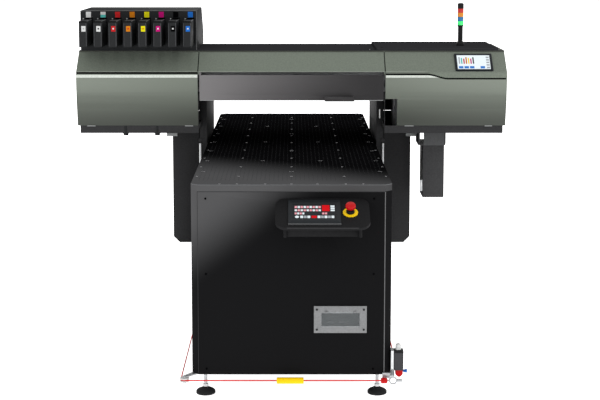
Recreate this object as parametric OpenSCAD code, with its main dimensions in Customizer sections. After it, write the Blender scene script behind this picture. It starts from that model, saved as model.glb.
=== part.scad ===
// Moving-gantry UV flatbed printer, in millimetres.
// X runs across the table, Y from the front face to the rear and Z up from the floor.
// The origin is the middle of the footprint, on the floor. Heights in this file are measured from
// a level that lies feet_out above the floor, and the last block lifts every node by that much.

/* [Table and cabinet] */
// Width of the vacuum table and of the cabinet
table_w = 810; // [800:1:820]
// Length of the vacuum table
table_l = 2400; // [2350:10:2600]
// Height of the table's top face
table_z = 875; // [870:1:880]
// Thickness of the table plate
plate_t = 27; // [22:1:30]
// Cut across each vertical corner
corner_cut = 28; // [20:1:32]
// Height of the cabinet's underside
cabinet_z = 92; // [90:1:96]
// Thickness of the cabinet's sheet metal
sheet = 2; // [1.5:0.5:3]

/* [Feet] */
// Distance of each foot from the centre line
foot_x = 355; // [350:1:360]
// How far the feet are screwed out, on top of the height of the pads
feet_out = 16; // [5:1:20]
// Diameter of a foot pad
foot_d = 80; // [70:1:90]

/* [Console] */
// Width of the inclined console plate
console_w = 373; // [360:1:390]
// How far the console stands out from the cabinet
console_reach = 180; // [170:1:190]
// Slope of the console plate, from level
console_tilt = 25; // [22:1:28]

/* [Gantry] */
// Overall width of the printer body
body_w = 2034; // [2024:1:2044]
// Distance from the cabinet's face back to the printer's front
gantry_setback = 1045; // [1000:5:1100]
// Clear height between table and front cover
media_gap = 223; // [215:1:230]
// Half the clear width between the gantry's legs
leg_inner = 418; // [417:1:419]
// Length of a leg along the table
leg_l = 638; // [630:1:650]
// How far the lift lowers the printer
lift_range = 100; // [80:5:100]

/* [Ink rack] */
// Distance between neighbouring ink trays
tray_pitch = 69.3; // [69:0.1:69.5]
// Width of an ink tray
tray_w = 38; // [34:1:42]
// Height of an ink tray
tray_h = 121; // [115:1:123]

/* [Pull rope] */
// Diameter of the safety rope
rope_d = 5; // [4:0.5:5]
// Height of the rope above the floor
rope_z = 76; // [75:1:77]

/* [Hidden] */
$fn = 48;

// Clearance between pieces that move past each other, and inside a running fit
gap = 0.3;
run_fit = 0.05;
// Joint left between neighbouring frame members
weld = 0.2;

// Cabinet: the rear reach holds the rear rope pulleys
rear_reach = 60;
y_front = -(table_l + console_reach + rear_reach) / 2 + console_reach;
y_back = y_front + table_l;
y_mid = (y_front + y_back) / 2;
half_w = table_w / 2;
plate_z = table_z - plate_t;
beam_in = 310;
beam_out = 370;
beam_size = beam_out - beam_in;
post_rows = [y_front + 95, y_mid, y_back - 95];
frame_end = 62;
// Side channel that the travel rails run in
channel_z = [430, 600];
track_z = [490, 570];
rail_z = 540;
rail_h = 17.5;
belt_z = 470;
belt_r = 22;
belt_t = 2.4;
belt_x = [376, 398];
shaft_r = 10;
shaft_inset = 170;

// Gantry
g_y = y_front + gantry_setback;
leg_y = g_y + 275;
leg_end = leg_y + leg_l;
leg_t = 35;
leg_outer = leg_inner + leg_t;
cover_z = table_z + media_gap;
tray_z = 939;
panel_z = 975;
groove_z = 1221;
band_z = 1235;
lip_z = 1320;
top_z = 1328;
raised_z = 1339;
band_y = g_y + 8;
lip_y = g_y + 109;
roof_end = g_y + 570;
back_y = g_y + 670;
end_x = body_w / 2;
seam_x = 442;
saddle_x = [400, 415];
column_x = 510;
column_y = [leg_y + 90, leg_end - 90];
column_r = 15;
column_top = 835;
shelf_z = 440;
shelf_t = 18;

// Front cover's hinge line
hinge_y = g_y + 7;
hinge_z = 1227;

// Carriage
beam_y = [g_y + 300, g_y + 440];
beam_z = [1110, 1250];
park_x = 700;
rail_y = beam_y[0] - 12;

// Console plate's own plane: origin at its middle, x across, y up the slope
console_x = 123;
console_top = 820;
console_len = console_reach / cos(console_tilt);
console_t = 12;
estop_x = 233;
hmi_x = 91;

// Breaker box
breaker_x = [91, 305];
breaker_z = [267, 378];
window_x = [124, 274];
window_z = [297, 347];
pole_x = [143, 192];
pole_w = 36;
toggle_z = 312;
lid_z = window_z[1] + 7;

// Ink rack
rack_x = [-1007, -453];
rack_z = [1328.5, 1518];
tray_x0 = -990;
ink_z = 1355;
tray_front = g_y - 61;
tray_len = 490;

// Rope
rope_r = rope_d / 2;
rope_front = y_front - 30;
rope_rear = y_back + 30;
rope_left = -449;
rope_right = 440;
wheel_r = 15;
switch_y = y_front + 25;

// Table screws and their counterbores
sink_r = 5;
sink_depth = 3;
screw_columns = [-392, -219, 0, 219, 392];
screw_y0 = y_front + 208;
screw_pitch = 250;

// Wall of the frame's square tubes
tube_t = 4;

// ---------------------------------------------------------------- helpers
module block(x, y, z) {
    translate([x[0], y[0], z[0]]) cube([x[1] - x[0], y[1] - y[0], z[1] - z[0]]);
}

module tube_x(x, y, z) difference() {
    block(x, y, z);
    block([x[0] - 1, x[1] + 1], [y[0] + tube_t, y[1] - tube_t], [z[0] + tube_t, z[1] - tube_t]);
}

module tube_y(x, y, z) difference() {
    block(x, y, z);
    block([x[0] + tube_t, x[1] - tube_t], [y[0] - 1, y[1] + 1], [z[0] + tube_t, z[1] - tube_t]);
}

module tube_z(x, y, z) difference() {
    block(x, y, z);
    block([x[0] + tube_t, x[1] - tube_t], [y[0] + tube_t, y[1] - tube_t], [z[0] - 1, z[1] + 1]);
}

module at_table_screws()
    for (row = [0:8], x = screw_columns)
        translate([x, screw_y0 + screw_pitch * row, 0]) children();

module rod_x(x, y, z, r) {
    translate([x[0], y, z]) rotate([0, 90, 0]) cylinder(h = x[1] - x[0], r = r);
}

module rod_y(x, y, z, r) {
    translate([x, y[1], z]) rotate([90, 0, 0]) cylinder(h = y[1] - y[0], r = r);
}

module rod_z(x, y, z, r) {
    translate([x, y, z[0]]) cylinder(h = z[1] - z[0], r = r);
}

// Draws its children and their mirror image on the other side
module both_sides() {
    children();
    mirror([1, 0, 0]) children();
}

// Extrudes a side outline, given as [y, z] points, from x[0] to x[1]
module profile_x(x, points) {
    translate([x[0], 0, 0]) rotate([90, 0, 90])
        linear_extrude(height = x[1] - x[0]) polygon(points);
}

// Rounded rectangle centred on the origin, from exact arcs
module rounded_plate(w, l, r, t) {
    linear_extrude(height = t) union() {
        square([w - 2 * r, l], center = true);
        square([w, l - 2 * r], center = true);
        for (sx = [-1, 1], sy = [-1, 1])
            translate([sx * (w / 2 - r), sy * (l / 2 - r)]) circle(r = r);
    }
}

// Half of the folded end sheet's plan, d mm inside the outer face
function fold(d, reach) = [
    [half_w - d, reach],
    [half_w - d, corner_cut + d * 0.414],
    [half_w - corner_cut - d * 0.414, d]
];
function mirrored(points) = [for (i = [len(points) - 1:-1:0]) [-points[i][0], points[i][1]]];

// Front of the printer at height z: upright at the top, drawn back lower down
function front_y(z) = g_y + 35 * pow((groove_z - z) / (groove_z - panel_z), 1.6);
function front_line(z0, z1, back) = [
    for (i = [0:12]) let (z = z0 + (z1 - z0) * i / 12) [front_y(z) + back, z]
];
function reversed(points) = [for (i = [len(points) - 1:-1:0]) points[i]];

// ---------------------------------------------------------------- cabinet
module cabinet_frame() color("dimgray") {
    ends = [y_front + frame_end, y_back - frame_end];
    both_sides() {
        tube_y([beam_in, beam_out], ends, [cabinet_z, cabinet_z + beam_size]);
        tube_y([beam_in, beam_out], ends, track_z);
        tube_y([beam_in, beam_out], ends, [plate_z - beam_size, plate_z]);
        for (y = post_rows) {
            sides = [y - beam_size / 2, y + beam_size / 2];
            tube_z([beam_in, beam_out], sides,
                [cabinet_z + beam_size + weld, track_z[0] - weld]);
            tube_z([beam_in, beam_out], sides,
                [track_z[1] + weld, plate_z - beam_size - weld]);
        }
    }
    for (y = post_rows) {
        sides = [y - beam_size / 2, y + beam_size / 2];
        tube_x([weld - beam_in, beam_in - weld], sides, [cabinet_z, cabinet_z + beam_size]);
        tube_x([weld - beam_in, beam_in - weld], sides,
            [plate_z - 2 * beam_size - weld, plate_z - beam_size - weld]);
    }
}

module table_plate() color("black") difference() {
    translate([0, 0, plate_z]) linear_extrude(height = plate_t) polygon([
        [-half_w + corner_cut, y_front], [half_w - corner_cut, y_front],
        [half_w, y_front + corner_cut], [half_w, y_back - corner_cut],
        [half_w - corner_cut, y_back], [-half_w + corner_cut, y_back],
        [-half_w, y_back - corner_cut], [-half_w, y_front + corner_cut]
    ]);
    at_table_screws() translate([0, 0, table_z - sink_depth])
        cylinder(h = sink_depth + 1, r = sink_r, $fn = 24);
}

module vacuum_plenum() color("silver") {
    x = [10 - beam_in, beam_in - 10];
    y = [y_front + 130, y_back - 130];
    difference() {
        block(x, y, [plate_z - 58, plate_z]);
        block([x[0] + 3, x[1] - 3], [y[0] + 3, y[1] - 3], [plate_z - 55, plate_z + 1]);
        rod_z(0, y_mid + 500, [plate_z - 60, plate_z - 50], 30);
    }
    for (y = [y_front + 650, y_mid, y_back - 650])
        block([x[0] + 3 + gap, x[1] - 3 - gap], [y - 2, y + 2], [plate_z - 54, plate_z - 8]);
}

// Folded sheet that closes one end of the cabinet and turns round its corners
module end_sheet() {
    reach = 58;
    outer = concat(fold(0, reach), mirrored(fold(0, reach)));
    inner = concat(fold(sheet, reach), mirrored(fold(sheet, reach)));
    translate([0, 0, cabinet_z]) linear_extrude(height = plate_z - cabinet_z - weld)
        polygon(concat(outer, reversed(inner)));
}

module front_panel() color("black")
    difference() {
        translate([0, y_front, 0]) end_sheet();
        block([breaker_x[0] + 6, breaker_x[1] - 6], [y_front - 1, y_front + 5],
            [breaker_z[0] + 6, breaker_z[1] - 6]);
        rod_y(console_x, [y_front - 1, y_front + 5], 760, 20);
    }

module rear_panel() color("black")
    difference() {
        translate([0, y_back, 0]) mirror([0, 1, 0]) end_sheet();
        rod_y(-250, [y_back - 5, y_back + 1], 180, 12.5);
        for (i = [0:7])
            block([80, 280], [y_back - 5, y_back + 1], [200 + 22 * i, 208 + 22 * i]);
    }

module side_panels() color("black") {
    y = [y_front + 58 + weld, y_back - 58 - weld];
    both_sides() {
        block([half_w - sheet, half_w], y, [cabinet_z, channel_z[0]]);
        block([beam_out, half_w], y, [channel_z[0] + weld, channel_z[0] + sheet + weld]);
        block([half_w - sheet, half_w], y, [channel_z[1], plate_z - weld]);
        block([beam_out, half_w], y, [channel_z[1] - sheet - weld, channel_z[1] - weld]);
    }
}

// Cap screws of the front panel and of the table's front edge
module panel_screws() color("gray") {
    for (x = [-345, 332], z = [116, 510, 819])
        rod_y(x, [y_front - 2, y_front], z, 4);
    at_table_screws() translate([0, 0, table_z - sink_depth])
        cylinder(h = sink_depth - 0.6, r = sink_r - 0.5, $fn = 24);
}

module travel_rails() color("silver")
    both_sides()
        block([beam_out, beam_out + rail_h], [y_front + 80, y_back - 80],
            [rail_z - 10, rail_z + 10]);

// Outline of a belt loop round two wheels of radius r, as [y, z]
module loop_outline(r) {
    y0 = y_front + shaft_inset;
    y1 = y_back - shaft_inset;
    translate([y0, belt_z - r]) square([y1 - y0, 2 * r]);
    for (y = [y0, y1]) translate([y, belt_z]) circle(r = r);
}

module travel_belts() color("black")
    both_sides()
        translate([belt_x[0], 0, 0]) rotate([90, 0, 90])
            linear_extrude(height = belt_x[1] - belt_x[0]) difference() {
                loop_outline(belt_r + gap + belt_t);
                loop_outline(belt_r + gap);
            }

// Servo motor, right-angle gearbox and the bearings of both cross shafts
module travel_drive() color("gray") {
    y0 = y_front + shaft_inset;
    y1 = y_back - shaft_inset;
    for (y = [y0, y1]) both_sides() difference() {
        block([beam_in + 5, beam_out - 5], [y - 20, y + 20], [belt_z - 20, track_z[0]]);
        rod_x([beam_in, beam_out], y, belt_z, shaft_r + run_fit);
    }
    difference() {
        block([-50, 50], [y1 - 45, y1 + 45], [belt_z - 50, belt_z + 50]);
        rod_x([-51, 51], y1, belt_z, shaft_r + run_fit);
    }
    block([-43, 43], [y1 - 43, y1 + 43], [belt_z - 190, belt_z - 50]);
    rod_z(0, y1, [belt_z - 225, belt_z - 190], 34);
}

module cross_shaft(y) {
    rod_x([-belt_x[1] + 1, belt_x[1] - 1], y, belt_z, shaft_r);
    both_sides() {
        rod_x([belt_x[0] + 0.5, belt_x[1] - 1], y, belt_z, belt_r);
        rod_x([belt_x[0] - 2, belt_x[0] - 0.5], y, belt_z, belt_r + 5);
    }
}

module travel_shaft() color("silver") cross_shaft(y_back - shaft_inset);

module idler_shaft() color("silver") cross_shaft(y_front + shaft_inset);

// Side-channel blower under the table, and its hose up to the plenum
module vacuum_blower() color("slategray") {
    y = y_mid + 500;
    z = cabinet_z + 190;
    block([-110, 110], [y - 90, y + 90], [cabinet_z + beam_size, cabinet_z + beam_size + 16]);
    rod_y(0, [y - 70, y + 10], z + 60, 120);
    rod_y(0, [y + 10, y + 150], z + 60, 72);
    rod_z(0, y - 30, [z + 60, z + 200], 26);
    rod_z(0, y, [z + 200, plate_z - 58], 28);
    block([-34, 34], [y - 62, y + 32], [z + 170, z + 200]);
}

// Power supply and control boards on a back plate behind the breaker box
module power_supply() color("lightgray") {
    y = y_front + 300;
    block([-220, 220], [y, y + 3], [cabinet_z + 70, 440]);
    block([-200, 10], [y - 55, y], [190, 310]);
    block([40, 200], [y - 42, y], [190, 310]);
    block([-190, 190], [y - 2, y], [330, 425]);
    for (i = [0:5])
        block([-175 + 62 * i, -135 + 62 * i], [y - 22, y - 2], [345, 400]);
}

// ---------------------------------------------------------------- breaker box
module breaker_box() color("gray") {
    difference() {
        block(breaker_x, [y_front - 5, y_front], breaker_z);
        block(window_x, [y_front - 6, y_front + 1], window_z);
    }
    difference() {
        block([breaker_x[0] + 8, breaker_x[1] - 8], [y_front, y_front + 70],
            [breaker_z[0] + 8, breaker_z[1] - 8]);
        block([breaker_x[0] + 10, breaker_x[1] - 10], [y_front - 1, y_front + 68],
            [breaker_z[0] + 10, breaker_z[1] - 10]);
    }
    for (x = pole_x)
        block([x, x + pole_w], [y_front + 8, y_front + 68], [toggle_z - 38, toggle_z + 42]);
    for (x = [breaker_x[0] + 12, breaker_x[1] - 12], z = [breaker_z[0] + 14, breaker_z[1] - 14])
        rod_y(x, [y_front - 7, y_front - 5], z, 4);
    for (x = [window_x[0] + 12, window_x[1] - 22]) difference() {
        union() {
            rod_x([x, x + 10], y_front - 9, lid_z, 4);
            block([x, x + 10], [y_front - 9, y_front - 5], [lid_z - 2.5, lid_z + 2.5]);
        }
        rod_x([x - 1, x + 11], y_front - 9, lid_z, 2 + run_fit);
    }
}

module breaker_lid() color("lightcyan", 0.5) {
    block([window_x[0] - 4, window_x[1] + 4], [y_front - 8, y_front - 5.5],
        [window_z[0] - 5, window_z[1] + 2.5]);
    rod_x([window_x[0] + 8, window_x[1] - 8], y_front - 9, lid_z, 2);
    block([window_x[0] + 30, window_x[1] - 30], [y_front - 10, y_front - 7.5],
        [window_z[1] + 1, window_z[1] + 8]);
}

// Linked lever of a two-pole breaker, turning about a pin along X
module breaker_toggle(x) color("black")
    translate([x + 2, y_front + 2.5, toggle_z]) rotate([-30, 0, 0]) {
        rod_x([0, pole_w - 4], 0, 0, 5);
        block([0, pole_w - 4], [-7.4, 0], [-2.5, 2.5]);
    }

module breaker_toggle_left() breaker_toggle(pole_x[0]);

module breaker_toggle_right() breaker_toggle(pole_x[1]);

// ---------------------------------------------------------------- console
// Moves its children onto the console plate, x from the centre line
module on_console(x = console_x)
    translate([x, y_front, console_top]) rotate([console_tilt, 0, 0])
        translate([0, -console_len / 2, 0]) children();

module console_shell() color("dimgray") {
    difference() {
        on_console() translate([0, 0, -console_t])
            rounded_plate(console_w, console_len, 45, console_t);
        on_console(estop_x) translate([0, 0, -20]) cylinder(h = 30, r = 11);
        block([-200, 400], [y_front, y_front + 30], [700, 900]);
    }
    difference() {
        profile_x([console_x - 138, console_x + 138], [
            [y_front, 690], [y_front - 128, 690], [y_front - 128, 745],
            [y_front, 805]
        ]);
        on_console(estop_x) translate([0, 0, -80]) cylinder(h = 90, r = 26);
    }
    for (x = [console_x - 148, console_x + 148])
        rod_z(x, y_front - 140, [692, 744], 6);
}

module hmi_panel() color("darkslategray")
    on_console(hmi_x) {
        difference() {
            rounded_plate(207, 158, 6, 7);
            translate([-85, -50, 4]) cube([170, 100, 5]);
        }
        translate([-84, -49, 4]) cube([168, 98, 1.5]);
    }

module estop_base() color("gold")
    on_console(estop_x) difference() {
        union() {
            cylinder(h = 3, r = 30);
            cylinder(h = 14, r = 15);
            translate([0, 0, -50]) cylinder(h = 50, r = 10.8);
        }
        translate([0, 0, -42]) cylinder(h = 60, r = 5 + run_fit);
    }

module estop_stem() color("silver")
    on_console(estop_x) {
        translate([0, 0, -30]) cylinder(h = 52, r = 5);
        translate([0, 0, 22]) cylinder(h = 14, r = 4);
    }

module estop_cap() color("red")
    on_console(estop_x) difference() {
        rotate_extrude() polygon([
            [0, 22 + gap], [16, 22 + gap], [20, 27], [20, 37], [17, 42], [10, 44.5], [0, 45]
        ]);
        translate([0, 0, 20]) cylinder(h = 16 + gap, r = 4 + run_fit);
    }

// ---------------------------------------------------------------- feet
module at_feet() for (x = [-foot_x, foot_x], y = post_rows) translate([x, y, 0]) children();

module foot_plates() color("silver") at_feet() difference() {
    union() {
        translate([-44, -44, cabinet_z - 14]) cube([88, 88, 14 - weld]);
        translate([0, 0, cabinet_z - 26]) cylinder(h = 12.5, r = 14, $fn = 6);
    }
    translate([0, 0, 60]) cylinder(h = 40, r = 6.3 + run_fit);
}

module levelling_feet() color("black") at_feet() translate([0, 0, -feet_out]) {
    rotate_extrude() polygon([
        [0, 0], [foot_d / 2, 0], [foot_d / 2, 12], [foot_d / 2 - 6, 17], [12, 27], [0, 27]
    ]);
    translate([0, 0, 26]) cylinder(h = cabinet_z + feet_out - weld - 27, r = 6.3);
}

// ---------------------------------------------------------------- pull rope
wheel_spots = [
    [rope_left + wheel_r, rope_front + wheel_r],
    [rope_left + wheel_r, rope_rear - wheel_r],
    [rope_right - wheel_r, rope_rear - wheel_r]
];

// Quarter bend of the rope round the wheel at a spot, starting at angle a
module rope_bend(spot, a)
    translate([spot[0], spot[1], rope_z]) rotate([0, 0, a])
        rotate_extrude(angle = 90) translate([wheel_r, 0]) circle(r = rope_r);

module pull_rope() color("red") {
    rod_x([rope_left + wheel_r, 370], rope_front, rope_z, rope_r);
    rod_x([364, 388], rope_front, rope_z, 9);
    rod_x([-57, 47], rope_front, rope_z, 12.5);
    rope_bend(wheel_spots[0], 180);
    rod_y(rope_left, [wheel_spots[0][1], wheel_spots[1][1]], rope_z, rope_r);
    rope_bend(wheel_spots[1], 90);
    rod_x([wheel_spots[1][0], wheel_spots[2][0]], rope_rear, rope_z, rope_r);
    rope_bend(wheel_spots[2], 0);
    rod_y(rope_right, [switch_y + 14, wheel_spots[2][1]], rope_z, rope_r);
}

// Arms that hold the wheels, with the anchor plate, ring bolt and its rod
module rope_hardware() color("silver") {
    for (spot = wheel_spots) {
        side = sign(spot[0]);
        end = spot[1] < 0 ? 1 : -1;
        rod_z(spot[0], spot[1], [rope_z - 14, rope_z + 16], 4);
        rod_z(spot[0], spot[1], [rope_z - 14, rope_z - 9], 8);
        translate([spot[0], spot[1], rope_z + 9]) hull() {
            cylinder(h = 5, r = 10, $fn = 32);
            translate([-side * 40, end * 50, 0]) cylinder(h = 5, r = 14, $fn = 32);
        }
    }
    translate([412, rope_front, rope_z]) rotate([90, 0, 0])
        rotate_extrude() translate([14, 0]) circle(r = 3.5);
    rod_x([388.5, 396], rope_front, rope_z, 3);
    rod_x([428, 449], rope_front, rope_z, 6);
    profile_x([402, 417], [
        [y_front - 4, cabinet_z + 19], [y_front - 4, cabinet_z + 1], [rope_front - 4, cabinet_z + 1],
        [rope_front - 4, cabinet_z + 6]
    ]);
    block([370, 403], [y_front - 10, y_front - 0.5], [cabinet_z - 12, cabinet_z + 9]);
}

module rope_switch() color("lightslategray") {
    block([405.2, 416], [switch_y - 22, switch_y + 22], [103, 190]);
    block([416, 456], [switch_y - 20, switch_y + 20], [107, 185]);
    rod_z(436, switch_y, [185, 190], 14);
    rod_z(436, switch_y, [190, 215], 11);
    difference() {
        rod_z(436, switch_y, [94, 107], 14);
        rod_x([421, 460], switch_y, 100, 4 + run_fit);
    }
    block([426, 454], [switch_y - 14, switch_y + 14 - weld], [78, 94]);
}

module reset_knob() color("blue") {
    rod_x([440, 458], switch_y, 100, 4);
    rod_x([458, 466], switch_y, 100, 6);
    rod_x([466, 472], switch_y, 100, 7.5);
}

// Grooved wheel at a corner of the rope's route
module rope_wheel(i) color("white")
    translate([wheel_spots[i][0], wheel_spots[i][1], rope_z])
        rotate_extrude() difference() {
            translate([4 + run_fit, -8]) square([15, 16]);
            translate([wheel_r, 0]) circle(r = rope_r + gap);
            translate([wheel_r, -rope_r - gap]) square([6, rope_d + 2 * gap]);
        }

module rope_pulley_front_left() rope_wheel(0);

module rope_pulley_rear_left() rope_wheel(1);

module rope_pulley_rear_right() rope_wheel(2);

// ---------------------------------------------------------------- gantry base
module saddles() color("dimgray") both_sides() {
    y = [leg_y + 20, leg_end - 18];
    block(saddle_x, y, [shelf_z, 575]);
    difference() {
        block([saddle_x[1], 572], y, [shelf_z, shelf_z + shelf_t]);
        for (cy = column_y) rod_z(column_x, cy, [430, 470], column_r);
    }
    block([446, 455.5], [leg_y - 12, leg_y + 20], [shelf_z, shelf_z + shelf_t]);
}

// Rail blocks, and the clamps that grip the drive belts' upper runs
module travel_blocks() color("silver") both_sides() {
    for (y = [leg_y + 80, leg_end - 80]) difference() {
        block([beam_out + 5, saddle_x[0]], [y - 38, y + 38], [rail_z - 22, rail_z + 22]);
        block([beam_out, beam_out + rail_h + gap], [y - 40, y + 40],
            [rail_z - 10 - gap, rail_z + 10 + gap]);
    }
    y = [(leg_y + leg_end) / 2 - 30, (leg_y + leg_end) / 2 + 30];
    run = belt_z + belt_r + gap;
    block([belt_x[0] + 2, saddle_x[0]], y, [run + belt_t + gap, run + belt_t + 10]);
    block([belt_x[0] + 2, saddle_x[0]], y, [run - 10, run - gap]);
    block([belt_x[1] + gap, saddle_x[0]], y, [run - gap, run + belt_t + gap]);
}

// Guide columns, lift cylinders and the bright guide bars at the legs' front
module lift_columns() color("silver") both_sides() {
    for (y = column_y) rod_z(column_x, y, [shelf_z + 1, column_top], column_r);
    difference() {
        rod_z(column_x, (leg_y + leg_end) / 2, [shelf_z + shelf_t, 650], 25);
        rod_z(column_x, (leg_y + leg_end) / 2, [shelf_z + shelf_t + 10, 651], 10 + run_fit);
    }
    block([446.5, 455.5], [leg_y - 12, leg_y - 4], [shelf_z + shelf_t, 857]);
}

// ---------------------------------------------------------------- portal
module leg_plates() color("dimgray") both_sides() {
    difference() {
        profile_x([leg_inner, leg_outer], [
            [leg_y, 575], [leg_end, 575], [leg_end, 1000], [leg_end - 190, beam_z[0] - weld],
            [leg_y, beam_z[0] - weld]
        ]);
        for (y = [column_y[0] + 121, column_y[1] - 121])
            block([leg_inner + 8, leg_outer + 1], [y - 76, y + 76], [595, 1000]);
    }
    for (y = column_y) difference() {
        block([leg_outer, column_x + 38], [y - 38, y + 38], [620, 720]);
        rod_z(column_x, y, [619, 721], column_r + run_fit);
    }
    y = (leg_y + leg_end) / 2;
    block([leg_outer, column_x + 25], [y - 25, y + 25], [760, 782]);
    rod_z(column_x, y, [575, 761], 10);
    rod_y(450, [leg_y - 3.5, leg_y], 872, 10);
}

module leg_housings() color("dimgray") both_sides() {
    x = [leg_outer + 3, 587];
    z = [358, tray_z - weld];
    difference() {
        translate([0, leg_end, 0]) rotate([90, 0, 0]) linear_extrude(height = leg_l)
            polygon([[x[0], z[0]], [x[1] - 30, z[0]], [x[1], z[0] + 30], [x[1], z[1]],
                [x[0], z[1]]]);
        translate([0, leg_end - sheet, 0]) rotate([90, 0, 0])
            linear_extrude(height = leg_l - 2 * sheet)
                polygon([[x[0] - 1, z[0] + sheet], [x[1] - 31, z[0] + sheet],
                    [x[1] - sheet, z[0] + 31], [x[1] - sheet, z[1] - sheet],
                    [x[0] - 1, z[1] - sheet]]);
    }
    block([587, 616], [leg_y + 4, leg_end - 260], [892, 907]);
    block([587, 612], [leg_y + 40, leg_y + 60], [907, tray_z - weld]);
}

// Hollow cross beam with the carriage's rails on its front
module carriage_beam() color("silver") {
    difference() {
        block([-960, 960], beam_y, beam_z);
        block([-961, 961], [beam_y[0] + 6, beam_y[1] - 6], [beam_z[0] + 6, beam_z[1] - 6]);
    }
    for (z = [beam_z[0] + 25, beam_z[1] - 25])
        block([-940, 940], [rail_y, beam_y[0]], [z - 8, z + 8]);
    both_sides() block([500, 560], [beam_y[0], beam_y[1] - 20], [tray_z + 2.2, beam_z[0]]);
}

// Shallow trays under both ends, with the walls that stand beside the opening
module side_trays() color("black") both_sides() {
    y = [g_y + 36, g_y + 655];
    notch_y = leg_y - 16;
    wall_y = g_y + 282;
    difference() {
        translate([0, 0, tray_z]) linear_extrude(height = panel_z - tray_z - weld) polygon([
            [seam_x, y[0]], [1005, y[0]], [1005, y[1]], [leg_outer + 5, y[1]],
            [leg_outer + 5, notch_y], [seam_x, notch_y]
        ]);
        translate([0, 0, tray_z + sheet]) linear_extrude(height = 50) polygon([
            [seam_x + 2, y[0] + 2], [1003, y[0] + 2], [1003, y[1] - 2],
            [leg_outer + 7, y[1] - 2], [leg_outer + 7, notch_y - 2],
            [seam_x + 2, notch_y - 2]
        ]);
    }
    profile_x([seam_x, seam_x + 2], [
        [y[0], panel_z - 1], [g_y + 60, panel_z - 1], [g_y + 60, 1190], [g_y + 32, 1190],
        [y[0], 1000]
    ]);
}

// Curved lower panel, band and end wall of one end's cover
module end_cover(x) {
    t = 3;
    profile_x(x, concat(front_line(panel_z, groove_z, 0),
        reversed(front_line(panel_z, groove_z, t))));
    band(x);
    profile_x([end_x - t, end_x], [
        [g_y + 38, panel_z], [back_y, panel_z], [back_y, 1240], [roof_end + 10, top_z - 1],
        [lip_y + 6, top_z - 1], [lip_y, lip_z], [band_y, band_z], [g_y + 12, groove_z],
        [g_y + 4, groove_z], [g_y + 8, 1100]
    ]);
}

// Sloping band above the groove, with the recess that makes the groove
module band(x)
    profile_x(x, [
        [g_y, groove_z], [g_y + 11, groove_z], [g_y + 11, band_z - 2],
        [lip_y + 3, lip_z - 3], [lip_y + 3, top_z - 2.2], [lip_y, top_z - 2.2],
        [lip_y, lip_z], [band_y, band_z], [band_y, groove_z + 3], [g_y, groove_z + 3]
    ]);

module cover_left() color("darkseagreen") mirror([1, 0, 0]) end_cover([seam_x + 1.5, end_x]);

module cover_right() color("darkseagreen") difference() {
    end_cover([seam_x + 1.5, end_x]);
    block([seam_x - 1, 500], [g_y - 5, g_y + 60], [panel_z - 1, 1105]);
}

module hood_centre() color("darkseagreen") {
    profile_x([0.5 - seam_x, seam_x - 0.5], [
        [band_y, band_z], [g_y + 11, band_z - 2], [lip_y + 3, lip_z - 3],
        [lip_y + 3, top_z - 2.2], [lip_y, top_z - 2.2], [lip_y, lip_z]
    ]);
    both_sides() difference() {
        block([seam_x - 5.5, seam_x - 0.5], [g_y + 2, g_y + 16], [groove_z, band_z - 2.5]);
        rod_x([430, 450], hinge_y, hinge_z, 2.5 + run_fit);
    }
}

module top_covers() color("dimgray") {
    block([3 - end_x, 406], [lip_y, roof_end], [top_z - 2, top_z]);
    difference() {
        block([407, 989], [lip_y, roof_end], [top_z - 2, raised_z]);
        block([409, 987], [lip_y + 2, roof_end - 2], [top_z - 3, raised_z - 2]);
    }
    block([989.2, end_x - 3.2], [lip_y, roof_end], [top_z - 2, top_z]);
}

module back_cover() color("dimgray") {
    x = [3.2 - end_x, end_x - 3.2];
    difference() {
        profile_x(x, [
            [roof_end + gap, top_z], [roof_end + gap, top_z - 3], [back_y - 2, 1240],
            [back_y - 2, panel_z], [back_y, panel_z], [back_y, 1241]
        ]);
        block([-leg_outer - 4, leg_outer + 4], [back_y - 50, back_y + 1],
            [panel_z - 1, beam_z[0] + 3]);
    }
}

// ---------------------------------------------------------------- ink supply
function tray_x(i) = tray_x0 + tray_pitch * i;

module ink_rack() color("dimgray") {
    t = 2;
    back = lip_y + 512;
    difference() {
        profile_x(rack_x, [
            [lip_y, rack_z[0]], [back, rack_z[0]], [back, 1390],
            [lip_y + 376, rack_z[1]], [lip_y, rack_z[1]]
        ]);
        profile_x([rack_x[0] + t, rack_x[1] - t], [
            [lip_y + t, rack_z[0] + t], [back - t, rack_z[0] + t], [back - t, 1389],
            [lip_y + 375, rack_z[1] - t], [lip_y + t, rack_z[1] - t]
        ]);
        for (i = [0:7])
            block([tray_x(i) - 3, tray_x(i) + tray_w + 3], [lip_y - 1, lip_y + t + 1],
                [ink_z - 3, ink_z + tray_h + 3]);
    }
    block([rack_x[0] + t, rack_x[1] - t], [lip_y + t, lip_y + 350], [ink_z - 5, ink_z - 0.5]);
    for (i = [0:6]) {
        x = tray_x(i) + (tray_w + tray_pitch) / 2;
        block([x - 0.8, x + 0.8], [lip_y + t, lip_y + 350], [ink_z - 0.5, ink_z + tray_h]);
    }
}

// Ink tray: closed nose in front of the rack, open trough with its ink pack inside it
module ink_tray(i) {
    x = [tray_x(i), tray_x(i) + tray_w];
    y = [tray_front, tray_front + tray_len];
    z = [ink_z, ink_z + tray_h];
    difference() {
        block(x, y, z);
        block([x[0] + 2, x[1] - 2], [y[0] + 4, y[1] - 2], [z[0] + 2, z[1] - 2]);
        block([x[0] + 2, x[1] - 2], [lip_y + 12, y[1] - 2], [z[0] + 2, z[1] + 1]);
    }
    block([x[0] + 3, x[1] - 3], [lip_y - 80, y[1] - 6], [z[0] + 2.5, z[1] - 8]);
}

module ink_tray_1() color("white") ink_tray(0);

module ink_tray_2() color("lightcyan") ink_tray(1);

module ink_tray_3() color("red") ink_tray(2);

module ink_tray_4() color("orange") ink_tray(3);

module ink_tray_5() color("yellow") ink_tray(4);

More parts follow.
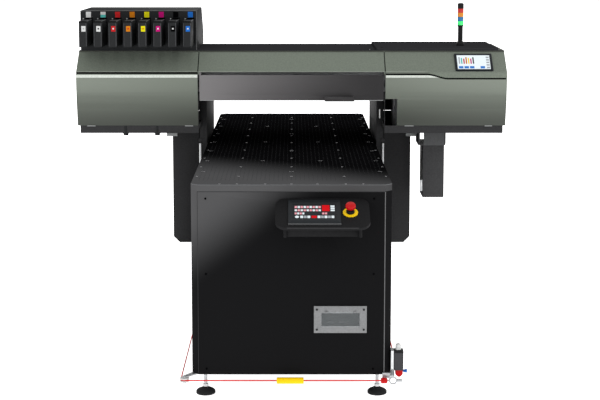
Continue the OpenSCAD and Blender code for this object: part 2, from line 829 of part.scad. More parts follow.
module ink_tray_6() color("magenta") ink_tray(5);

module ink_tray_7() color("black") ink_tray(6);

module ink_tray_8() color("deepskyblue") ink_tray(7);

// ---------------------------------------------------------------- fittings
module signal_tower() color("darkslategray")
    translate([826, 187, raised_z]) {
        rotate_extrude() polygon([
            [0, 0], [20, 0], [20, 8], [17, 18], [12, 20], [12, 93], [15, 95], [15, 100], [0, 100]
        ]);
        for (i = [0:3]) translate([0, 0, 100 + 20.2 * i]) cylinder(h = 20, r = 14.7);
        translate([0, 0, 181]) rotate_extrude()
            polygon([[0, 0], [15, 0], [15, 21], [13, 26], [0, 27]]);
    }

// Moves its children onto the sloping band, y running up the slope
module on_band(x)
    translate([x, band_y, band_z])
        rotate([atan2(lip_z - band_z, lip_y - band_y), 0, 0]) children();

module lcd_panel() color("gray")
    on_band(863) difference() {
        translate([-89, 1.5, 0.2]) cube([178, 112, 8]);
        translate([-78, 9.5, 6.2]) cube([156, 94, 5]);
    }

// Waste ink bottle in its hanging case, with the bracket it hangs from
module waste_housing() color("dimgray") {
    y = [61, 221];
    z = [607, 862];
    block([623, 741], y, [862 + weld, 872]);
    block([641, 741], [y[0], y[0] + 2], [862 + weld, tray_z - weld]);
    for (x = [616, 741]) profile_x([x, x + 7], [
        [y[0], 875], [y[0] + 12, 862], [y[1] - 12, 862], [y[1], 875], [y[1], tray_z - weld],
        [y[0], tray_z - weld]
    ]);
    difference() {
        block([638, 741], y, z);
        block([640, 739], [y[0] + 2, y[1] - 2], [z[0] + 2, z[1] - 2]);
    }
    block([644, 735], [y[0] + 8, y[1] - 8], [z[0] + 3, z[1] - 50]);
    rod_z(690, y[0] + 70, [z[1] - 50, z[1] - 30], 18);
    block([626, 638], [y[0] + 6, y[0] + 24], [637, 690]);
}

// Caps and wiper under the parked carriage
module cap_station() color("gray") {
    y = [g_y + 80, g_y + 240];
    block([park_x - 110, park_x + 110], y, [tray_z + sheet + weld, 962]);
    for (i = [-1:1], row = [0, 1])
        block([park_x + 70 * i - 25, park_x + 70 * i + 25],
            [y[0] + 12 + 76 * row, y[0] + 72 + 76 * row], [962, 978]);
    block([park_x - 140, park_x - 125], y, [tray_z + sheet + weld, 979]);
}

// ---------------------------------------------------------------- front cover
module front_cover() color("gray") {
    x = [-435, 435];
    bar = [157, 294];
    profile_x(x, concat(front_line(cover_z, groove_z - 2, 0),
        reversed(front_line(cover_z, groove_z - 2, 5))));
    both_sides() {
        rod_x([428, seam_x - 1], hinge_y, hinge_z, 2.5);
        rod_x([428, 435], hinge_y, hinge_z, 5);
        block([428, 435], [g_y + 1, g_y + 11], [groove_z - 6, hinge_z - 1]);
    }
    block(bar, [g_y - 28, g_y - 18], [cover_z - 1, cover_z + 21]);
    for (i = [0, 1])
        block([bar[i] - 8 * i, bar[i] + 8 - 8 * i], [g_y - 19, g_y + 12],
            [cover_z + 4, cover_z + 16]);
}

// ---------------------------------------------------------------- carriage
module carriage() color("gainsboro") {
    x = [park_x - 140, park_x + 140];
    y = [g_y + 67, rail_y - 13];
    block(x, [y[1], rail_y - 12 + 10], [1112, 1255]);
    for (dx = [-90, 90], z = [beam_z[0] + 25, beam_z[1] - 25]) difference() {
        block([park_x + dx - 35, park_x + dx + 35], [rail_y - 2, beam_y[0] - gap],
            [z - 17, z + 17]);
        block([park_x + dx - 36, park_x + dx + 36], [rail_y - gap, beam_y[0] + 1],
            [z - 8 - gap, z + 8 + gap]);
    }
    difference() {
        block(x, [y[0], y[1] - 14], [1010, 1230]);
        block([x[0] + 3, x[1] - 3], [y[0] + 3, y[1] - 11], [1013, 1227]);
    }
    block(x, [y[1] - 14, y[1]], [1112, 1230]);
}

// Print heads in two rows, with an ultraviolet lamp on each side
module print_heads() color("silver") {
    for (i = [-1:1], row = [0, 1])
        block([park_x + 70 * i - 22, park_x + 70 * i + 22],
            [g_y + 94 + 76 * row, g_y + 148 + 76 * row], [980, 1009.8]);
    for (side = [-1, 1]) {
        x = park_x + side * 166;
        block([x - 25, x + 25], [g_y + 80, g_y + 230], [984, 1100]);
    }
}

translate([0, 0, feet_out]) {
    cabinet_frame();
    table_plate();
    vacuum_plenum();
    front_panel();
    rear_panel();
    side_panels();
    panel_screws();
    travel_rails();
    travel_belts();
    travel_drive();
    vacuum_blower();
    power_supply();
    breaker_box();
    console_shell();
    hmi_panel();
    estop_base();
    foot_plates();
    pull_rope();
    rope_hardware();
    rope_switch();
    levelling_feet();
    travel_shaft();
    idler_shaft();
    breaker_lid();
    breaker_toggle_left();
    breaker_toggle_right();
    estop_stem();
    estop_cap();
    rope_pulley_front_left();
    rope_pulley_rear_left();
    rope_pulley_rear_right();
    reset_knob();
    saddles();
    travel_blocks();
    lift_columns();
    leg_plates();
    carriage_beam();
    side_trays();
    cover_left();
    cover_right();
    hood_centre();
    top_covers();
    back_cover();
    leg_housings();
    ink_rack();
    signal_tower();
    lcd_panel();
    waste_housing();
    cap_station();
    front_cover();
    ink_tray_1();
    ink_tray_2();
    ink_tray_3();
    ink_tray_4();
    ink_tray_5();
    ink_tray_6();
    ink_tray_7();
    ink_tray_8();
    carriage();
    print_heads();
}
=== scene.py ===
import math

import bmesh
import bpy
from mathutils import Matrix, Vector


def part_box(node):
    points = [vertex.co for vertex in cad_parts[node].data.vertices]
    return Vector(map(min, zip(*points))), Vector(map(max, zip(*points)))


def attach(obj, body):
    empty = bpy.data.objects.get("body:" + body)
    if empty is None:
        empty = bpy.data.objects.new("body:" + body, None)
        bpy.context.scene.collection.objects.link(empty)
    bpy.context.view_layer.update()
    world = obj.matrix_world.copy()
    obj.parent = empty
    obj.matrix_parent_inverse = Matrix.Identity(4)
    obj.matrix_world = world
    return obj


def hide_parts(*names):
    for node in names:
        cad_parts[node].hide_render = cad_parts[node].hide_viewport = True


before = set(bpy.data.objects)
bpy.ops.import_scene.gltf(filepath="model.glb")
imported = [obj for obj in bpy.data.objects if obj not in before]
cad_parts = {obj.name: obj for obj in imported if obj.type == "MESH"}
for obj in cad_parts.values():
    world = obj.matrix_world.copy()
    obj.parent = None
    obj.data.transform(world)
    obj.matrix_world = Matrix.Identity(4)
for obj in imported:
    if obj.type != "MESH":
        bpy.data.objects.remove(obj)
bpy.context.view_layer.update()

# Everything below is in millimetres, with heights counted from a level FEET_OUT above the floor;
# it is raised and scaled once, when a mesh is made.
MM = 0.001
FEET_OUT = 16
Y_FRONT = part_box("table_plate")[0].y / MM
TABLE_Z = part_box("table_plate")[1].z / MM - FEET_OUT
G_Y = Y_FRONT + 1045
GROOVE_Z = 1221
PANEL_Z = 975
BAND_Y = G_Y + 8
BAND_Z = 1235
LIP_Y = G_Y + 109
LIP_Z = 1320
SEAM_X = 442
END_X = 1017
TOP_Z = 1328
RAISED_Z = 1339
CONSOLE_TILT = math.radians(25)
CONSOLE_LEN = 180 / math.cos(CONSOLE_TILT)
TRAY_X0 = -990
TRAY_PITCH = 69.3
TRAY_W = 38
TRAY_FRONT = G_Y - 61
ROPE_Y = Y_FRONT - 30
ROPE_Z = 76
HOLE_PITCH_X = 18
HOLE_PITCH_Y = 17.6
HOLE_ROWS = 128
FIRST_HOLE_Y = Y_FRONT + 108
BAND_LOW_Z = 1226
BAND_SINK = 20
CURVE_X = 640
CURVE_LEN = 100
CURVE_STEP = 8
GROOVE_WIDTH = 7.5
STRIP_Z = 1207
STRIP_TOP_Z = 1220.5


# ---------------------------------------------------------------- materials
def linear(rgb):
    out = []
    for v in rgb:
        c = v / 255
        out.append(c / 12.92 if c <= 0.04045 else ((c + 0.055) / 1.055) ** 2.4)
    return out


def material(
    name,
    rgb,
    rough,
    metal=0.0,
    grain=0.10,
    scale=140.0,
    bump=0.05,
    coat=0.0,
    glow=0.0,
    alpha=1.0,
    stretch=(1, 1, 1),
    spec=0.5,
):
    """Principled material whose colour and relief come from a fine noise."""
    mat = bpy.data.materials.new(name)
    mat.use_nodes = True
    nodes, links = mat.node_tree.nodes, mat.node_tree.links
    shader = nodes["Principled BSDF"]
    shader.inputs["Roughness"].default_value = rough
    shader.inputs["Metallic"].default_value = metal
    shader.inputs["Coat Weight"].default_value = coat
    shader.inputs["Coat Roughness"].default_value = 0.12
    shader.inputs["Specular IOR Level"].default_value = spec
    shader.inputs["Alpha"].default_value = alpha
    place = nodes.new("ShaderNodeTexCoord")
    mapping = nodes.new("ShaderNodeMapping")
    mapping.inputs["Scale"].default_value = stretch
    noise = nodes.new("ShaderNodeTexNoise")
    noise.inputs["Scale"].default_value = scale
    noise.inputs["Detail"].default_value = 4.0
    ramp = nodes.new("ShaderNodeValToRGB")
    base = linear(rgb)
    ramp.color_ramp.elements[0].position = 0.3
    ramp.color_ramp.elements[0].color = [max(0.0, c * (1 - grain)) for c in base] + [1]
    ramp.color_ramp.elements[1].position = 0.7
    ramp.color_ramp.elements[1].color = [min(1.0, c * (1 + grain)) for c in base] + [1]
    relief = nodes.new("ShaderNodeBump")
    relief.inputs["Strength"].default_value = bump
    relief.inputs["Distance"].default_value = 0.0005
    links.new(place.outputs["Object"], mapping.inputs["Vector"])
    links.new(mapping.outputs["Vector"], noise.inputs["Vector"])
    links.new(noise.outputs["Fac"], ramp.inputs["Fac"])
    links.new(ramp.outputs["Color"], shader.inputs["Base Color"])
    links.new(noise.outputs["Fac"], relief.inputs["Height"])
    links.new(relief.outputs["Normal"], shader.inputs["Normal"])
    if glow:
        links.new(ramp.outputs["Color"], shader.inputs["Emission Color"])
        shader.inputs["Emission Strength"].default_value = glow
    return mat


def painted_light_ramp(name, low, high, rough, span, toward=(1, 0, 0), spec=0.05):
    """Painted light: paint whose tone drifts from low to high along one direction of the object,
    standing in for how light falls on it.
    """
    mat = material(name, low, rough, spec=spec)
    nodes, links = mat.node_tree.nodes, mat.node_tree.links
    shader = nodes["Principled BSDF"]
    along = nodes.new("ShaderNodeVectorMath")
    along.operation = "DOT_PRODUCT"
    along.inputs[1].default_value = toward
    reach = nodes.new("ShaderNodeMapRange")
    reach.inputs["From Min"].default_value = span[0] * MM
    reach.inputs["From Max"].default_value = span[1] * MM
    ramp = nodes.new("ShaderNodeValToRGB")
    ramp.color_ramp.interpolation = "EASE"
    ramp.color_ramp.elements[0].color = linear(low) + [1]
    ramp.color_ramp.elements[1].color = linear(high) + [1]
    place = next(n for n in nodes if n.type == "TEX_COORD")
    links.new(place.outputs["Object"], along.inputs[0])
    links.new(along.outputs["Value"], reach.inputs["Value"])
    links.new(reach.outputs["Result"], ramp.inputs["Fac"])
    links.new(ramp.outputs["Color"], shader.inputs["Base Color"])
    return mat


M = {
    "black_paint": material("black_paint", (17, 17, 18), 0.5, spec=0.01),
    # painted highlight: the front panel is lighter towards its top left, where the light falls
    "front_paint_painted_highlight": painted_light_ramp(
        "front_paint_painted_highlight", (20, 20, 21), (76, 76, 77), 0.5, (600, 860), toward=(-0.6, 0, 0.8), spec=0.01
    ),
    "frame_paint": material("frame_paint", (9, 9, 10), 0.5, spec=0.01),
    # painted sheen: the table is lighter towards its front left
    "table": painted_light_ramp(
        "table", (10, 10, 11), (78, 78, 79), 0.5, (430, 960), toward=(-0.5, -0.85, 0), spec=0.0
    ),
    # near-black: painted shade in holes, grooves, slots and round the breaker box, and also real black
    # print, joints and screw heads
    "painted_shade_and_black": material("painted_shade_and_black", (6, 6, 7), 0.9, spec=0.0),
    "hole_rim": material("hole_rim", (66, 66, 68), 0.5, spec=0.0),
    "screw_bright": material("screw_bright", (190, 190, 192), 0.4, metal=0.3),
    # the next three are painted highlights along edges and folds; the last is a dimmer copy
    "edge": material("edge", (92, 93, 95), 0.4, metal=0.2, spec=0.05),
    "fold_highlight": material("fold_highlight", (98, 98, 99), 0.5, spec=0.05),
    "fold_dim_highlight": material("fold_dim_highlight", (52, 52, 53), 0.5, spec=0.02),
    "olive": material("olive", (110, 117, 107), 0.45, metal=0.1, spec=0.05),
    # the next two are lit and shaded copies of the olive paint: a painted highlight on the band's lower
    # edge, and painted shade on the lip's front face and on a strip of the raised lid
    "olive_highlight": material("olive_highlight", (146, 152, 142), 0.45, spec=0.05),
    "olive_painted_shade": material("olive_painted_shade", (70, 73, 67), 0.5, spec=0.02),
    # painted light: the covers are lighter towards their top, where the light falls
    "olive_panel_painted_light": painted_light_ramp(
        "olive_panel_painted_light", (72, 75, 70), (120, 126, 117), 0.45, (PANEL_Z + FEET_OUT, 1221), toward=(0, 0, 1)
    ),
    "grey_paint": material("grey_paint", (46, 46, 48), 0.5, spec=0.0),
    "console_paint": material("console_paint", (31, 31, 32), 0.5, spec=0.02),
    "leg_paint": material("leg_paint", (47, 47, 48), 0.55, spec=0.01),
    "inner_paint": material("inner_paint", (52, 52, 53), 0.55, spec=0.01),
    "tray_black": material("tray_black", (38, 39, 40), 0.5, spec=0.05),
    # lighter copy of the tray paint: painted highlights on the tray fronts' edges
    "tray_edge_highlight": material("tray_edge_highlight", (62, 63, 65), 0.5, spec=0.05),
    "rack_paint": material("rack_paint", (38, 39, 40), 0.5, spec=0.01),
    "waste_paint": material("waste_paint", (63, 63, 64), 0.5, spec=0.02),
    "bracket": material("bracket", (80, 81, 82), 0.5, spec=0.05),
    "silver_strip": material("silver_strip", (196, 202, 194), 0.4),
    # painted sheen: the smoked front cover is lighter towards its left
    "smoked_painted_sheen": painted_light_ramp("smoked_painted_sheen", (116, 114, 115), (47, 46, 47), 0.3, (-435, 435)),
    "steel": material("steel", (176, 178, 180), 0.35, metal=0.7, stretch=(1, 6, 1)),
    "bright_steel": material("bright_steel", (204, 205, 206), 0.3, metal=0.5),
    "aluminium": material("aluminium", (168, 169, 171), 0.4, metal=0.7, stretch=(1, 1, 5)),
    "cast": material("cast", (92, 95, 98), 0.55, metal=0.3, bump=0.3),
    "black_plastic": material("black_plastic", (26, 26, 27), 0.5, bump=0.15, spec=0.1),
    "rubber": material("rubber", (38, 39, 40), 0.65, bump=0.2, spec=0.05),
    "breaker_grey": material("breaker_grey", (124, 125, 126), 0.5, spec=0.05),
    "switch_grey": material("switch_grey", (62, 62, 64), 0.55, spec=0.05),
    "clear": material("clear", (225, 232, 235), 0.1, bump=0.0, alpha=0.06, spec=0.02),
    "white": material("white", (196, 197, 196), 0.45, grain=0.03, spec=0.2),
    "light_grey": material("light_grey", (150, 152, 152), 0.5, grain=0.05, spec=0.1),
    "red": material("red", (176, 10, 14), 0.35, grain=0.06, spec=0.15),
    "rope_red": material(
        "rope_red", (206, 30, 30), 0.5, grain=0.12, scale=500, stretch=(4, 1, 1), spec=0.1
    ),
    "yellow": material("yellow", (240, 198, 14), 0.45, grain=0.05, spec=0.1),
    "label_yellow": material("label_yellow", (206, 198, 14), 0.5, grain=0.05, spec=0.05),
    "orange": material("orange", (190, 112, 16), 0.5, grain=0.05, spec=0.05),
    "magenta": material("magenta", (178, 10, 106), 0.5, grain=0.05, spec=0.05),
    "teal": material("teal", (82, 180, 172), 0.5, grain=0.05, spec=0.05),
    "blue": material("blue", (20, 96, 180), 0.45, grain=0.05, spec=0.1),
    "screen": material("screen", (30, 33, 36), 0.35, spec=0.1),
    "screen_white": material("screen_white", (226, 236, 240), 0.5, grain=0.01, spec=0.02),
    "screen_blue": material("screen_blue", (52, 118, 196), 0.5, grain=0.02, spec=0.02),
    "screen_grey": material("screen_grey", (160, 166, 172), 0.5, grain=0.02, spec=0.02),
    "screen_red": material("screen_red", (206, 20, 28), 0.5, grain=0.02, spec=0.02),
    "screen_pink": material("screen_pink", (232, 160, 170), 0.5, grain=0.02, spec=0.02),
    "lamp_red": material("lamp_red", (170, 16, 10), 0.3, grain=0.03, glow=0.25),
    "lamp_amber": material("lamp_amber", (196, 120, 12), 0.3, grain=0.03, glow=0.2),
    "lamp_green": material("lamp_green", (60, 230, 120), 0.3, grain=0.03, glow=0.2),
    "lamp_blue": material("lamp_blue", (0, 96, 150), 0.3, grain=0.03, glow=0.2),
}


# ---------------------------------------------------------------- mesh building
class Piece:
    """One object made of several solids, each with its own material, that rides one body."""

    def __init__(self, name, body):
        self.name, self.body = name, body
        self.mesh = bmesh.new()
        self.keys = []

    def index(self, key):
        if key not in self.keys:
            self.keys.append(key)
        return self.keys.index(key)

    def solid(self, points, faces, key):
        verts = [self.mesh.verts.new((x * MM, y * MM, (z + FEET_OUT) * MM)) for x, y, z in points]
        for face in faces:
            made = self.mesh.faces.new([verts[i] for i in face])
            made.material_index = self.index(key)
            made.smooth = True
        return self

    def prism(self, low, high, key):
        """Closes two outlines with the same number of points into a solid."""
        n = len(low)
        faces = [list(range(n))[::-1], list(range(n, 2 * n))]
        faces += [[i, (i + 1) % n, n + (i + 1) % n, n + i] for i in range(n)]
        return self.solid(list(low) + list(high), faces, key)

    def box(self, x, y, z, key, place=lambda p: p):
        low = [(x[0], y[0], z[0]), (x[1], y[0], z[0]), (x[1], y[1], z[0]), (x[0], y[1], z[0])]
        high = [(p[0], p[1], z[1]) for p in low]
        return self.prism([place(p) for p in low], [place(p) for p in high], key)

    def along_x(self, x, outline, key):
        return self.prism([(x[0], *p) for p in outline], [(x[1], *p) for p in outline], key)

    def along_y(self, y, outline, key):
        low = [(p[0], y[0], p[1]) for p in outline]
        return self.prism(low, [(p[0], y[1], p[2]) for p in low], key)

    def along_z(self, z, outline, key):
        return self.prism([(*p, z[0]) for p in outline], [(*p, z[1]) for p in outline], key)

    def lathe(self, profile, origin, key, axis="z", steps=32, place=None):
        """Turns a profile of (radius, height) round an axis through origin."""
        points, faces = [], []
        for r, h in profile:
            for i in range(steps):
                a = 2 * math.pi * i / steps
                local = (r * math.cos(a), r * math.sin(a), h)
                if axis == "x":
                    local = (local[2], local[0], local[1])
                if axis == "y":
                    local = (local[0], local[2], local[1])
                p = tuple(o + c for o, c in zip(origin, local))
                points.append(place(p) if place else p)
        last = len(profile) - 1
        for j in range(last):
            for i in range(steps):
                k = (i + 1) % steps
                faces.append([j * steps + i, j * steps + k, (j + 1) * steps + k, (j + 1) * steps + i])
        faces.append(list(range(steps))[::-1])
        faces.append([last * steps + i for i in range(steps)])
        return self.solid(points, faces, key)

    def rod(self, r, h, origin, key, axis="z", steps=24, place=None):
        return self.lathe([(r, h[0]), (r, h[1])], origin, key, axis, steps, place)

    def done(self, *nodes, bevel=0.0, slot=None):
        bmesh.ops.recalc_face_normals(self.mesh, faces=self.mesh.faces)
        data = bpy.data.meshes.new(self.name)
        self.mesh.to_mesh(data)
        self.mesh.free()
        for key in self.keys:
            data.materials.append(M[key])
        data.set_sharp_from_angle(angle=math.radians(35))
        piece = bpy.data.objects.new(self.name, data)
        bpy.context.scene.collection.objects.link(piece)
        if bevel:
            soften(piece, bevel)
        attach(piece, self.body)
        if nodes:
            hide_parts(*nodes)
        return piece


def soften(piece, width, segments=2):
    edge = piece.modifiers.new("edges", "BEVEL")
    edge.width = width * MM
    edge.segments = segments
    edge.limit_method = "ANGLE"
    edge.angle_limit = math.radians(40)
    edge.harden_normals = True


def front_y(z):
    return G_Y + 35 * (max(0, GROOVE_Z - z) / (GROOVE_Z - PANEL_Z)) ** 1.6


def on_console(x0):
    def place(p):
        c, s = math.cos(CONSOLE_TILT), math.sin(CONSOLE_TILT)
        b = p[1] - CONSOLE_LEN / 2
        return (x0 + p[0], Y_FRONT + b * c - p[2] * s, 820 + b * s + p[2] * c)

    return place


def on_band(x0):
    tilt = math.atan2(LIP_Z - BAND_Z, LIP_Y - BAND_Y)

    def place(p):
        c, s = math.cos(tilt), math.sin(tilt)
        return (x0 + p[0], BAND_Y + p[1] * c - p[2] * s, BAND_Z + p[1] * s + p[2] * c)

    return place


# ---------------------------------------------------------------- CAD nodes' finishes
NODE_FINISH = {
    "cabinet_frame": "frame_paint", "table_plate": "table", "vacuum_plenum": "aluminium",
    "front_panel": "front_paint_painted_highlight", "rear_panel": "black_paint", "side_panels": "black_paint",
    "panel_screws": "painted_shade_and_black", "travel_rails": "steel", "travel_belts": "rubber",
    "travel_drive": "cast", "vacuum_blower": "cast", "power_supply": "aluminium",
    "breaker_box": "breaker_grey", "console_shell": "console_paint", "hmi_panel": "screen",
    "estop_base": "yellow", "foot_plates": "bright_steel", "pull_rope": "rope_red",
    "rope_hardware": "steel", "rope_switch": "switch_grey", "levelling_feet": "rubber",
    "travel_shaft": "steel", "idler_shaft": "steel", "breaker_lid": "clear",
    "breaker_toggle_left": "black_plastic", "breaker_toggle_right": "black_plastic",
    "estop_stem": "steel", "estop_cap": "red", "rope_pulley_front_left": "white",
    "rope_pulley_rear_left": "white", "rope_pulley_rear_right": "white",
    "reset_knob": "blue", "saddles": "leg_paint", "travel_blocks": "steel",
    "lift_columns": "bright_steel", "leg_plates": "inner_paint", "carriage_beam": "aluminium",
    "side_trays": "inner_paint", "cover_left": "olive_panel_painted_light", "cover_right": "olive_panel_painted_light",
    "hood_centre": "olive", "top_covers": "grey_paint", "back_cover": "grey_paint",
    "leg_housings": "leg_paint", "ink_rack": "rack_paint", "signal_tower": "black_plastic",
    "lcd_panel": "screen", "waste_housing": "waste_paint", "cap_station": "light_grey",
    "front_cover": "smoked_painted_sheen", "carriage": "aluminium", "print_heads": "steel",
}
EDGES = {
    "leg_housings": 4, "console_shell": 2.5, "waste_housing": 2, "estop_cap": 0.6, "lcd_panel": 1.2,
    "hmi_panel": 1.2, "foot_plates": 1.5, "top_covers": 0.8, "leg_plates": 1.5,
}
for name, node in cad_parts.items():
    finish = NODE_FINISH.get(name, "tray_black")
    node.data.materials.clear()
    node.data.materials.append(M[finish])
    if name == "table_plate":
        continue
    weld = node.modifiers.new("weld", "WELD")
    weld.merge_threshold = 0.00001
    for face in node.data.polygons:
        face.use_smooth = True
    soften(node, EDGES.get(name, 0.7))

# ---------------------------------------------------------------- table
# the dark discs in the holes are painted shade
top = Piece("table_holes", "cabinet")
for column in range(-21, 22):
    for row in range(HOLE_ROWS):
        x, y = column * HOLE_PITCH_X, FIRST_HOLE_Y + row * HOLE_PITCH_Y
        for radius, lift, key in ((2.4, 0.10, "hole_rim"), (1.4, 0.16, "painted_shade_and_black")):
            corners = [a * math.pi / 3 for a in range(6)]
            ring = [
                (x + radius * math.cos(a), y + radius * math.sin(a), TABLE_Z + lift) for a in corners
            ]
            top.solid(ring, [[0, 1, 2, 3, 4, 5]], key)
top.done()

# the dark centres of the marks and screws are painted shade
dots = Piece("table_marks", "cabinet")
for row in range(8):
    y = Y_FRONT + 331 + 300 * row
    columns = (-375, -128, 128, 375) if row % 2 else (-375, 0, 375)
    for x in columns:
        for side in (-5, 5):
            dots.rod(3.8, (TABLE_Z - 1, TABLE_Z + 0.25), (x + side, y, 0), "screw_bright", steps=12)
            dots.rod(2.2, (TABLE_Z - 1, TABLE_Z + 0.35), (x + side, y, 0), "painted_shade_and_black", steps=12)
screws = [(x, Y_FRONT + 208 + 250 * row) for row in range(9) for x in (-392, -219, 0, 219, 392)]
screws += [(x, Y_FRONT + 20) for x in (-289, -219, -105, 0, 105, 219, 289)]
for x, y in screws:
    dots.rod(4.4, (TABLE_Z - 1, TABLE_Z + 0.25), (x, y, 0), "screw_bright", steps=16)
    dots.rod(2.0, (TABLE_Z - 1, TABLE_Z + 0.35), (x, y, 0), "painted_shade_and_black", steps=6)
dots.done()

# a lighter strip along the table's front edge: painted highlight
front_highlight = Piece("table_front_edge", "cabinet")
outer = [(-405.4, Y_FRONT + 28), (-377.2, Y_FRONT - 0.4), (377.2, Y_FRONT - 0.4), (405.4, Y_FRONT + 28)]
inner = [
    (403.5, Y_FRONT + 28.6), (376.4, Y_FRONT + 1.6), (-376.4, Y_FRONT + 1.6), (-403.5, Y_FRONT + 28.6),
]
for i in range(3):
    strip = [outer[i], outer[i + 1], inner[2 - i], inner[3 - i]]
    front_highlight.along_z((TABLE_Z - 2, TABLE_Z + 0.3), strip, "edge")
front_highlight.done()

# ---------------------------------------------------------------- cabinet
panel_low, panel_high = (c.z / MM - FEET_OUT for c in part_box("front_panel"))
# lighter strips along the panel's folds and top edge: painted highlights, bright at the right fold, dim
# at the left fold and the top
fold_highlights = Piece("panel_fold_highlights", "cabinet")
fold_highlights.box((-378, 378), (Y_FRONT - 0.5, Y_FRONT + 2), (panel_high - 2.5, panel_high + 0.3), "fold_dim_highlight")
fold_highlights.box((375, 378.5), (Y_FRONT - 0.6, Y_FRONT + 1.5), (panel_low + 2, panel_high - 2), "fold_highlight")
fold_highlights.box((-378.5, -376.5), (Y_FRONT - 0.6, Y_FRONT + 1.5), (panel_low + 2, panel_high - 2), "fold_dim_highlight")
fold_highlights.done(bevel=0.4)

feet = Piece("feet", "levelling_feet")
pad = [
    (0.5, 0), (38, 0), (40, 2), (40, 5), (38.6, 6), (40, 7), (40, 10), (38.4, 11.2), (38.6, 12.6),
    (34, 17), (24, 21.5), (15, 26), (10.5, 28.5), (0.5, 29),
]
for x in (-355, 355):
    for y in (Y_FRONT + 95, 60, 1165):
        feet.lathe(pad, (x, y, -FEET_OUT), "rubber", steps=48)
        feet.rod(6.3, (12, 90.5), (x, y, 0), "steel", steps=20)
        feet.rod(11.5, (14, 24), (x, y, 0), "bright_steel", steps=6)
        for thread in range(14):
            feet.rod(6.9, (28 + 2.6 * thread, 29.3 + 2.6 * thread), (x, y, 0), "steel", steps=20)
feet.done("levelling_feet", slot="black_rubber")

# Breaker box: white breakers behind the window, screws, and painted shade round the window and behind
# the box
breakers = Piece("breakers", "cabinet")
for x in (143, 192):
    breakers.box((x - 0.4, x + 36.4), (Y_FRONT + 7.2, Y_FRONT + 9), (275, 354), "white")
    breakers.box((x + 17.6, x + 18.4), (Y_FRONT + 6.8, Y_FRONT + 8), (297, 347), "light_grey")
    breakers.box((x + 4, x + 14), (Y_FRONT + 6.8, Y_FRONT + 8), (331, 336), "blue")
    breakers.box((x + 22, x + 32), (Y_FRONT + 6.8, Y_FRONT + 8), (331, 336), "blue")
for x in (103, 293):
    for z in (281, 364):
        breakers.rod(4.4, (Y_FRONT - 7.4, Y_FRONT - 4.8), (x, 0, z), "black_plastic", axis="y", steps=16)
# painted shade in the recess round the window
for x, z, key in (((123, 275), (295, 297.5), "painted_shade_and_black"), ((123, 275), (346.5, 349), "painted_shade_and_black")):
    breakers.box(x, (Y_FRONT - 5.5, Y_FRONT - 4), z, key)
for x in ((121.5, 124), (274, 276.5)):
    breakers.box(x, (Y_FRONT - 5.5, Y_FRONT - 4), (295, 349), "painted_shade_and_black")
# painted shadow of the box on the panel
breakers.box((89.6, 306.4), (Y_FRONT - 1.6, Y_FRONT - 0.1), (265.6, 379.4), "painted_shade_and_black")
breakers.done(bevel=0.4)

# Console: lit front edge of the plate, screen and stop button
console = Piece("console_details", "cabinet")
here = on_console(91)
console.box((-104, 104), (-81, -79.2), (0.2, 7.4), "bracket", here)
console.box((-84, 84), (-49, 49), (5.4, 5.9), "screen", here)
for (x0, x1), (y0, y1), count, keys in (
    ((-78, 28), (24, 38), 9, ("screen_pink", "screen_white")),
    ((-78, 28), (3, 15), 9, ("screen_white", "screen_pink")),
    ((-78, -38), (-18, -6), 4, ("screen_pink", "screen_white")),
    ((30, 52), (-18, -6), 2, ("screen_pink", "screen_pink")),
    ((-56, -14), (-43, -27), 3, ("screen_white", "screen_grey")),
    ((12, 80), (-43, -27), 5, ("screen_white", "screen_grey")),
):
    step = (x1 - x0) / count
    for i in range(count):
        left = x0 + step * i
        console.box((left, left + step * 0.8), (y0, y1), (5.8, 6.2), keys[i % 2], here)
console.box((30, 60), (3, 44), (5.8, 6.3), "screen_red", here)
console.box((-12, 9), (-43, -27), (5.8, 6.3), "screen_red", here)
for y in (3, 17, 31):
    console.box((64, 80), (y, y + 11), (5.8, 6.3), "screen_white", here)
console.rod(8, (5.8, 6.3), (-69, -35, 0), "screen_white", steps=20, place=here)
spot = on_console(233)
console.lathe(
    [(15.2, 3), (17, 3.2), (17, 10), (15.4, 14.2)], (0, 0, 0), "black_plastic", steps=32, place=spot,
)
edge_place = on_console(123)
near_edge = -CONSOLE_LEN / 2
# painted highlight along the plate's near edge
console.box((-140, 140), (near_edge - 0.6, near_edge + 0.6), (-3, 0.4), "fold_dim_highlight", edge_place)
for x in (-148, 148):
    console.rod(6.4, (690, 745), (123 + x, Y_FRONT - 140, 0), "console_paint", steps=16)
console.done(bevel=0.3)

# ---------------------------------------------------------------- pull rope
grip = Piece("rope_grip", "cabinet")
grip.lathe(
    [
        (2.7, -60), (9, -59.8), (12.2, -58.8), (12.9, -57.4),
        (12.9, 47.4), (12.2, 48.8), (9, 49.8), (2.7, 50),
    ],
    (0, ROPE_Y, ROPE_Z), "yellow", axis="x", steps=32,
)
grip.lathe(
    [(2.7, 362), (10, 363), (11.6, 367), (11.6, 383), (10, 388), (4, 389.4)],
    (0, ROPE_Y, ROPE_Z), "red", axis="x",
)
grip.done()

